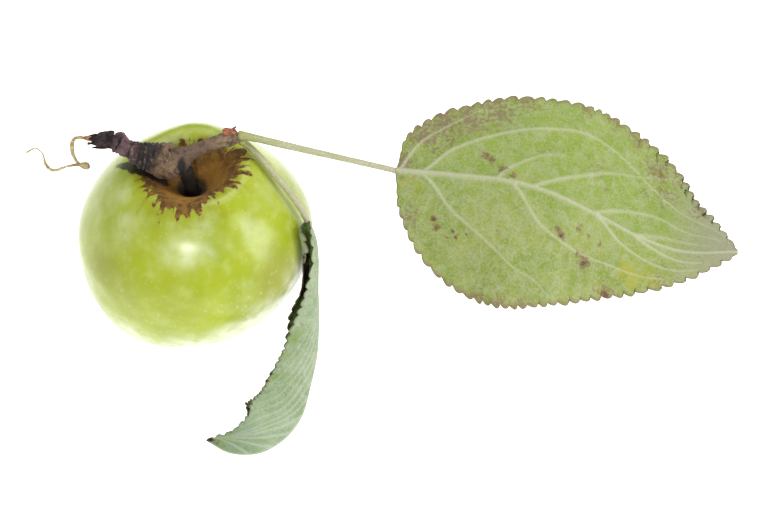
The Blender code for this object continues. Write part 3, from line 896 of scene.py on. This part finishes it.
def bark():
    """Purple-brown bark: dark in its cracks and between the rings, its own dark with painted shade,
    tan and grey on the lumps, and painted shade between the knob and the shoot.
    """
    wood = Finish("spur_bark", Roughness=0.85)
    wood.colour = wood.ramp(
        wood.layer("along"),
        (0.0, (62, 42, 46)),
        (0.1, (96, 70, 76)),
        (0.17, (70, 48, 50)),
        (0.24, (28, 18, 18)),
        (0.32, (30, 20, 18)),
        (0.36, (106, 82, 58)),
        (0.48, (124, 100, 74)),
        (0.57, (88, 68, 52)),
        (0.74, (100, 80, 62)),
        (0.9, (142, 120, 90)),
        (1.0, (104, 82, 64)),
    )
    proud = wood.layer("proud")
    wood.cover(wood.step(wood.noise(2.2, 4, warp=0.8), 0.45, 0.68, 0.75), (34, 24, 24))
    lumps = wood.step(proud, -0.1, 0.35, 0.5)
    worn = wood.calc("MULTIPLY", wood.step(wood.noise(0.8, 4), 0.5, 0.68), lumps)
    wood.cover(worn, (150, 130, 106))
    # The sunk cracks and ring scars are darkened: the bark's own dark, with painted shade.
    wood.cover(wood.step(proud, -0.05, -0.4, 0.9), (18, 12, 11))
    wood.cover(wood.step(wood.cells(0.8), 0.3, 0.12, 0.4), (26, 18, 16))
    # Painted shade in the gap between the knob and the shoot.
    wood.cover(wood.step(wood.layer("painted_cleft_shade"), 0.3, 0.75, 0.95), (10, 6, 5))
    wood.bump(wood.noise(0.45, 4), 0.22, 0.9)
    wood.bump(wood.noise(1.3, 3, warp=0.8), 0.35, 0.8)
    return wood.finished()


def plain_skin(name, size, roughness, dark, pale, fleck):
    """Plant tissue of two mottled tones, with flecks; size is the mottling's, in millimetres."""
    skin = Finish(name, Roughness=roughness)
    skin.colour = skin.mix(skin.step(skin.noise(size, 3), 0.35, 0.68), dark, pale)
    skin.cover(skin.step(skin.noise(size * 0.45, 3), 0.55, 0.72, 0.8), fleck)
    skin.bump(skin.noise(size * 0.3, 3), 0.05, 0.8)
    return skin.finished()


def leaf_stalk_skin():
    """Pale, downy leaf stalk, greener where it leaves the wood."""
    skin = Finish("leaf_stalk_skin", Roughness=0.55)
    skin.colour = skin.ramp(
        skin.layer("along"),
        (0.0, (136, 138, 74)),
        (0.3, (158, 158, 122)),
        (1.0, (160, 156, 128)),
    )
    skin.cover(skin.step(skin.noise(1.8, 3), 0.45, 0.75, 0.5), (140, 144, 76))
    skin.cover(skin.step(skin.noise(0.6, 2), 0.5, 0.8, 0.4), (206, 204, 176))
    skin.bump(skin.noise(0.35, 3), 0.05, 0.7)
    return skin.finished()


def leaf_side(name, look):
    """One side of a leaf: mottled green under a pale down, with veins and blemishes.

    The small veins lie on the blade laid out flat, so that they follow its bends.
    """
    leaf = Finish(name, Roughness=0.62, Specular_IOR_Level=0.3)
    green, down, vein, brown = (look[part] for part in ("green", "down", "vein", "brown"))
    flat = leaf.node("ShaderNodeCombineXYZ")
    leaf.put(flat.inputs[0], leaf.layer("laid_along"))
    leaf.put(flat.inputs[1], leaf.layer("laid_across"))
    leaf.colour = leaf.mix(leaf.step(leaf.noise(8, 2), 0.36, 0.64), green, look["yellow"])
    vivid = leaf.step(leaf.layer("laid_across"), 13 * MM, -6 * MM, look["vivid_share"])
    leaf.cover(vivid, look["vivid"])
    leaf.cover(leaf.step(leaf.noise(2.6, 3), 0.35, 0.72, 0.45), down)
    leaf.cover(leaf.step(leaf.noise(0.6, 4), 0.42, 0.66, 0.4), down)
    deep = leaf.mix(0.45, green, (40, 60, 10))
    leaf.cover(leaf.step(leaf.noise(0.45, 3), 0.5, 0.72, 0.3), deep)
    crooked = leaf.node("ShaderNodeMix", {"data_type": "VECTOR"}, Factor=VEIN_WANDER)
    wander = leaf.node("ShaderNodeTexNoise", Vector=leaf.here, Scale=1 / (1.5 * MM))
    leaf.put(crooked.inputs[4], flat.outputs[0])
    leaf.put(crooked.inputs[5], wander.outputs[1])
    net = leaf.cells(look["net"], "DISTANCE_TO_EDGE", where=crooked.outputs[1])
    mesh = leaf.cells(look["net"] * 3.4, "DISTANCE_TO_EDGE", where=crooked.outputs[1])
    leaf.cover(leaf.step(net, 0.2, 0.0, 0.6 * look["net_share"]), vein)
    leaf.cover(leaf.step(mesh, 0.06, 0.0, look["net_share"]), vein)
    tip = leaf.step(leaf.layer("along"), look["tip_start"], 0.98, look["tip_share"])
    leaf.cover(tip, look["tip"])
    yellowed = leaf.frayed("yellowing", 2.5, 4, 0.4)
    leaf.cover(leaf.step(yellowed, 0.2, 1.0, 0.6), look["yellowed"])
    browned = leaf.frayed("browning", look["fray"], 5, 0.55)
    leaf.cover(leaf.step(browned, 0.2, 1.1, 0.8), brown)
    leaf.cover(leaf.calc("MULTIPLY", leaf.layer("vein"), look["vein_share"]), vein)
    if look["blackens"]:
        leaf.cover(leaf.step(browned, 0.75, 1.1, 0.95), (22, 14, 9))
    leaf.cover(leaf.step(leaf.layer("margin"), 0.94, 1.0, 0.65), brown)
    marks = leaf.frayed("blemish", 0.8, 4, 0.35)
    leaf.cover(leaf.step(marks, 0.3, 0.8, 0.75), (104, 72, 50))
    leaf.cover(leaf.step(marks, 0.8, 1.2, 0.85), (62, 30, 24))
    leaf.bump(leaf.step(net, 0.25, 0.0), 0.04, 0.6)
    leaf.bump(leaf.step(mesh, 0.1, 0.0), 0.08, 0.6)
    leaf.bump(leaf.noise(0.5, 3), 0.05, 0.7)
    return leaf.finished()


def pale_floor():
    """Plain white paper, lit a little from within."""
    paper = Finish("pale_floor", Roughness=0.9)
    paper.colour = paper.mix(paper.noise(30, 2), (0.86, 0.86, 0.86, 1), (0.88, 0.88, 0.88, 1))
    paper.set("Emission Color", (1, 1, 1, 1))
    paper.set("Emission Strength", 0.85)
    return paper.finished()


# ---------------------------------------------------------------- the object

# Mottled plant tissue: the mottling's size, the roughness, the dark, pale and fleck colours.
# The fruit stalk's dark brown is painted near black: painted shade for the hollow it stands in.
stalk_finish = plain_skin("stalk_skin", 1.2, 0.8, (14, 9, 5), (32, 21, 11), (9, 6, 4))
bud_finish = plain_skin("bud_scales", 1.3, 0.85, (14, 9, 9), (42, 28, 27), (92, 42, 34))
thread_finish = plain_skin("dry_tissue", 1.0, 0.75, (140, 120, 74), (184, 174, 134), (118, 80, 46))
tan_finish = plain_skin("tan_scale", 0.9, 0.75, (118, 78, 44), (166, 132, 84), (90, 48, 30))
red_finish = plain_skin("red_scale", 0.8, 0.7, (138, 68, 50), (168, 120, 88), (82, 34, 28))
sepal_finish = plain_skin("dry_sepal", 1.0, 0.85, (60, 42, 24), (100, 78, 46), (36, 26, 16))
leaf_stalk_finish = leaf_stalk_skin()
underside = leaf_side(
    "leaf_underside",
    dict(
        green=(106, 126, 22), yellow=(126, 138, 52), down=(148, 154, 116),
        vein=(174, 174, 150), vein_share=0.68, net=1.0, net_share=0.14,
        brown=(114, 90, 72), fray=0.9, blackens=False, yellowed=(150, 146, 40),
        tip=(148, 146, 124), tip_start=0.76, tip_share=0.8,
        vivid=(112, 140, 8), vivid_share=0.55,
    ),
)
upper_side = leaf_side(
    "leaf_upper_side",
    dict(
        green=(56, 82, 22), yellow=(76, 102, 34), down=(90, 114, 48),
        vein=(116, 136, 70), vein_share=0.7, net=1.0, net_share=0.2,
        brown=(44, 30, 18), fray=2.2, blackens=True, yellowed=(116, 118, 34),
        tip=(76, 102, 34), tip_start=0.76, tip_share=0.2,
        vivid=(66, 92, 26), vivid_share=0.3,
    ),
)
folded_underside = leaf_side(
    "folded_leaf_underside",
    dict(
        green=(112, 136, 88), yellow=(136, 152, 114), down=(162, 172, 152),
        vein=(176, 178, 166), vein_share=0.5, net=0.9, net_share=0.15,
        brown=(80, 56, 36), fray=1.4, blackens=True, yellowed=(118, 140, 58),
        tip=(96, 124, 86), tip_start=0.5, tip_share=0.55,
        vivid=(126, 148, 100), vivid_share=0.3,
    ),
)

make_fruit(apple_skin())
for name, route, rings, sides, finish, slot, node, relief, painted_cleft_shade in (
    ("apple_stalk", STALK, 40, 40, stalk_finish, "stalk_skin", "fruit_stalk", stalk_relief, None),
    ("spur_wood", SPUR, 330, 90, bark(), "spur_bark", "spur", bark_relief, SPUR_CLEFT_SHADE),
    ("leaf_thread", DRY_THREAD, 260, 14, thread_finish, "dry_tissue", "dry_thread",
     thread_relief, None),
    ("stalk_to_broad_leaf", LONG_LEAF_STALK, 180, 36, leaf_stalk_finish, "leaf_stalk",
     "long_leaf_stalk", leaf_stalk_relief, None),
    ("stalk_to_folded_leaf", SHORT_LEAF_STALK, 140, 36, leaf_stalk_finish, "leaf_stalk",
     "short_leaf_stalk", leaf_stalk_relief, None),
):
    make_stem(name, route, rings, sides, finish, node, relief, painted_cleft_shade)

# The end bud tapers: dark scales close round it, the last ones run out to a ragged point.
# Each ring is given by its place along x, its radius, its scales' length and their number.
BUD_RINGS = [(-17.4, 1.7, 3.6, 7), (-18.8, 1.5, 3.4, 6), (-20.3, 0.9, 2.9, 5)]
bud_rows = []
for ring, (x, radius, size, count) in enumerate(BUD_RINGS):
    for turn in range(count):
        angle = math.tau * (turn + 0.5 * ring) / count + 0.4
        outward = np.array((0, math.cos(angle), math.sin(angle)))
        root = np.array((x, 2.05, 53.4)) + outward * radius * (1 + 0.12 * math.sin(5 * angle))
        heading = np.array((-1, 0, 0)) - outward * (0.16 + 0.16 * math.sin(7 * angle + ring))
        length = size * (1 + 0.2 * math.sin(3 * angle + ring))
        bud_rows.append((root, heading, length, 1.0, 0.03, outward))
make_bracts("bud_at_spur_end", bud_rows, 0.18, bud_finish, "end_bud", core=END_BUD)
tan_rows = [
    ((-21.6, 2.2, 53.5), (-1, 0, 0.1), 3.9, 0.75, 0.06, (0, -0.3, 1)),
    ((-21.4, 2.0, 53.0), (-1, -0.1, -0.25), 2.4, 0.55, 0.1, (0, -1, -0.4)),
]
make_bracts("tan_bud_scale", tan_rows, 0.15, tan_finish, "bud_scale")
red_rows = [
    ((7.6, 5.0, 52.9), (1, 0, 0.25), 3.4, 0.9, 0.05, (0, -0.5, 1)),
    ((8.6, 4.4, 52.9), (1, 0.1, 0.1), 2.6, 0.7, -0.1, (0, -1, 0.6)),
    ((9.4, 5.4, 53.0), (0.9, 0.2, 0.5), 1.8, 0.6, 0.2, (0, 0.2, 1)),
]
make_bracts("red_bud_scale", red_rows, 0.15, red_finish, "side_bud")

# Dried sepals spread in the basin underneath, and dried stamens hang in their middle.
sepal_rows = []
for turn in range(LOBES):
    angle = LOBE_TURN + math.tau * turn / LOBES
    outward = np.array((math.cos(angle), math.sin(angle), 0))
    root = BASIN_MIDDLE + outward * 0.5
    sepal_rows.append((root, outward + (0, 0, -0.35), 3.3, 0.95, -0.12, UP))
for turn in range(STAMENS):
    angle = math.tau * turn / STAMENS
    outward = np.array((math.cos(angle), math.sin(angle), 0))
    root = BASIN_MIDDLE + outward * 0.4 + (0, 0, 0.2)
    sepal_rows.append((root, outward * 0.45 + (0, 0, -1.0), 1.9, 0.16, 0.1, outward))
make_bracts("blossom_end_sepals", sepal_rows, 0.16, sepal_finish, "calyx")

broad_leaf = dict(
    midrib=BROAD_MIDRIB, near=BROAD_NEAR, far=BROAD_FAR, facing=UP,
    stations=380, cells=61, tooth_pitch=3.1, tooth_depth=1.25, sweep=1.2,
    veins=BROAD_VEINS, vein_width=0.5, vein_height=0.3, rib_width=0.85,
    rib_height=0.7, quilt=0.35, waves=0.35,
    blemish=BROAD_SPOTS, browning=BROAD_BROWNING, yellowing=BROAD_YELLOWING,
)
broad_finishes = [underside, upper_side]
make_leaf("broad_leaf_blade", broad_leaf, broad_finishes, "broad_leaf")

# The folded leaf's side veins leave its midrib evenly, a little later on the near half.
folded_veins = []
for start in np.linspace(0.0, 0.84, 12):
    for half in (-1, 1):
        begin = start + (0.02 if half > 0 else 0.0)
        reach = min(0.5, 0.99 - begin)
        course = ((0.0, 0.0), (0.3, 0.26), (0.66, 0.56), (1.0, 0.9))
        folded_veins.append([(begin + share * reach, out * half) for share, out in course])
folded_leaf = dict(
    midrib=FOLDED_MIDRIB, near=FOLDED_NEAR, far=FOLDED_FAR, facing=UP_AND_FRONT,
    stations=380, cells=42, tooth_pitch=2.7, tooth_depth=0.9, sweep=0.5,
    veins=folded_veins, vein_width=0.34, vein_height=0.16, rib_width=0.8,
    rib_height=0.45, quilt=0.12, waves=0.1,
    blemish=[], browning=FOLDED_BROWNING, yellowing=FOLDED_YELLOWING,
)
folded_finishes = [folded_underside, upper_side]
make_leaf("folded_leaf_blade", folded_leaf, folded_finishes, "folded_leaf")

# ---------------------------------------------------------------- floor, light and camera

floor_bm = bmesh.new()
bmesh.ops.create_grid(floor_bm, x_segments=1, y_segments=1, size=FLOOR_HALF_WIDTH)
bmesh.ops.translate(floor_bm, verts=floor_bm.verts, vec=(0, 0, -FLOOR_DROP))
floor_mesh = bpy.data.meshes.new("floor")
floor_bm.to_mesh(floor_mesh)
floor_bm.free()
floor_mesh.materials.append(pale_floor())
floor = bpy.data.objects.new("floor", floor_mesh)
bpy.context.scene.collection.objects.link(floor)

world = bpy.data.worlds.new("studio")
world.use_nodes = True
sky = world.node_tree.nodes["Background"]
sky.inputs["Color"].default_value = (1, 1, 1, 1)
sky.inputs["Strength"].default_value = 0.64
bpy.context.scene.world = world


def add_softbox(name, position, target, size, watts):
    """A round lamp aimed at a point, both given in metres from the fruit's axis."""
    light = bpy.data.lights.new(name, "AREA")
    light.shape = "DISK"
    light.size = size
    light.energy = watts
    lamp = bpy.data.objects.new(name, light)
    lamp.location = AXIS + Vector(position)
    aim = AXIS + Vector(target) - lamp.location
    lamp.rotation_euler = aim.to_track_quat("-Z", "Y").to_euler()
    bpy.context.scene.collection.objects.link(lamp)


add_softbox("overhead", (0.2, 0.35, 0.9), (0, 0, 0.03), 0.9, 5.5)
add_softbox("front", (-0.07, -0.583, 0.45), (0, 0, 0.03), 0.07, 1.7)
add_softbox("right", (0.6, -0.15, 0.2), (0, 0, 0.02), 0.35, 1.6)

camera_data = bpy.data.cameras.new("camera")
camera_data.sensor_width = 36
camera_data.lens = CAMERA_LENS
camera = bpy.data.objects.new("camera", camera_data)
camera.location = place(CAMERA_PLACE)
camera.rotation_euler = (math.radians(CAMERA_TILT), 0, 0)
bpy.context.scene.collection.objects.link(camera)
bpy.context.scene.camera = camera
bpy.context.scene.view_settings.view_transform = "Standard"
